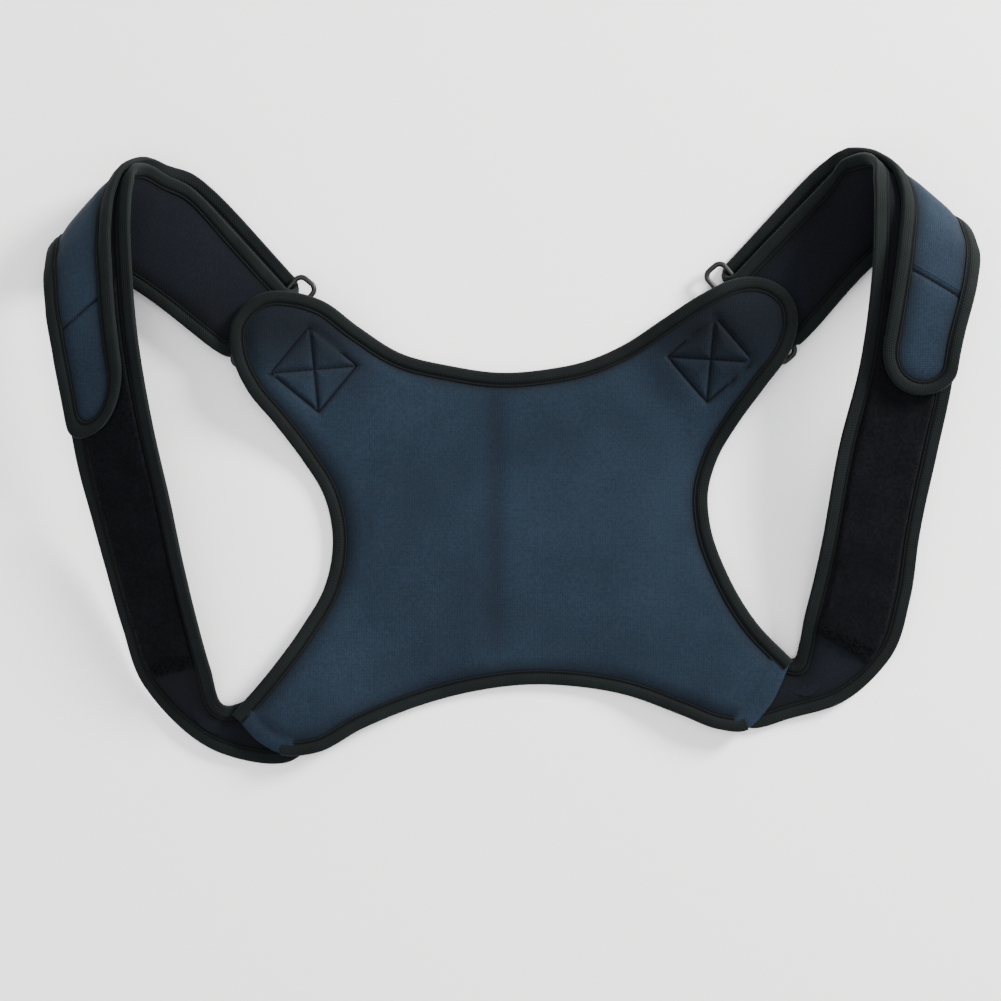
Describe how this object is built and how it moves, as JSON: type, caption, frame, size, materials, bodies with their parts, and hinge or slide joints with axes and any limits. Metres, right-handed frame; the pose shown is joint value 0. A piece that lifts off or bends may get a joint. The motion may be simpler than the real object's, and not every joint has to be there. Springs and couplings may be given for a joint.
{
  "type": "back brace",
  "caption": "Posture-correcting back brace: X-shaped padded panel with bound edges and two shoulder straps that double back through rings to hook-and-loop tabs.",
  "frame": {"origin": "centre of the bounding box's base, on the surface that the brace lies on", "axes": "+X across the back to the right as seen from above, +Y up towards the neck edge, +Z away from the wearer's side"},
  "size_m": [0.5412, 0.3694, 0.0577],
  "materials": {
    "neoprene": "matte knit-faced neoprene",
    "lining": "matte knit-faced neoprene",
    "binding": "woven stretch tape",
    "pile": "napped loop tape",
    "hook": "moulded hooks",
    "webbing": "woven webbing",
    "thread": "bonded thread",
    "ring": "moulded, satin"
  },
  "bodies": {
    "back_panel": {"panel_face": "neoprene", "panel_lining": "lining", "panel_binding_upper": "binding", "panel_binding_lower": "binding", "left_box_stitch": "thread", "left_ring_webbing": "webbing", "left_strap_ring_end": "neoprene", "left_ring_end_binding_inner": "binding", "left_ring_end_binding_outer": "binding", "left_strap_anchor": "neoprene", "left_anchor_binding_inner": "binding", "left_anchor_binding_outer": "binding", "right_box_stitch": "thread", "right_ring_webbing": "webbing", "right_strap_ring_end": "neoprene", "right_ring_end_binding_inner": "binding", "right_ring_end_binding_outer": "binding", "right_strap_anchor": "neoprene", "right_anchor_binding_inner": "binding", "right_anchor_binding_outer": "binding"},
    "left_ring_body": {"left_ring": "ring"},
    "left_strap": {"left_strap_band": "neoprene", "left_band_binding_inner": "binding", "left_band_binding_outer": "binding", "left_strap_doubled": "neoprene", "left_doubled_binding_inner": "binding", "left_doubled_binding_outer": "binding", "left_pile_tape": "pile", "left_bar_tack": "thread"},
    "left_tab_body": {"left_tab": "neoprene", "left_tab_binding": "binding", "left_hook_patch": "hook", "left_cross_stitch": "thread"},
    "right_ring_body": {"right_ring": "ring"},
    "right_strap": {"right_strap_band": "neoprene", "right_band_binding_inner": "binding", "right_band_binding_outer": "binding", "right_strap_doubled": "neoprene", "right_doubled_binding_inner": "binding", "right_doubled_binding_outer": "binding", "right_pile_tape": "pile", "right_bar_tack": "thread"},
    "right_tab_body": {"right_tab": "neoprene", "right_tab_binding": "binding", "right_hook_patch": "hook", "right_cross_stitch": "thread"}
  },
  "joints": [
    {"name": "left_strap_fold", "type": "hinge", "parent": "back_panel", "child": "left_strap", "pos_m": [-0.1705, -0.03989, 0.0113], "axis": [-0.033, 0.9993, 0.0171], "range_deg": [0, 85]},
    {"name": "left_tab_peel", "type": "hinge", "parent": "left_strap", "child": "left_tab_body", "pos_m": [-0.24253, 0.09571, 0.05271], "axis": [-0.6042, -0.7813, -0.1563], "range_deg": [0, 110]},
    {"name": "left_ring_swivel", "type": "hinge", "parent": "back_panel", "child": "left_ring_body", "pos_m": [-0.13365, 0.07436, 0.00703], "axis": [-0.6368, -0.771, 0], "range_deg": [-3.5, 3.5]},
    {"name": "right_strap_fold", "type": "hinge", "parent": "back_panel", "child": "right_strap", "pos_m": [0.17815, -0.02717, 0.0092], "axis": [-0.059, -0.9976, -0.0363], "range_deg": [0, 85]},
    {"name": "right_tab_peel", "type": "hinge", "parent": "right_strap", "child": "right_tab_body", "pos_m": [0.24077, 0.10603, 0.05588], "axis": [-0.8693, 0.4871, 0.0841], "range_deg": [0, 110]},
    {"name": "right_ring_swivel", "type": "hinge", "parent": "back_panel", "child": "right_ring_body", "pos_m": [0.14116, 0.08067, 0.00703], "axis": [0.6508, -0.7593, 0], "range_deg": [-3.5, 3.5]}
  ]
}
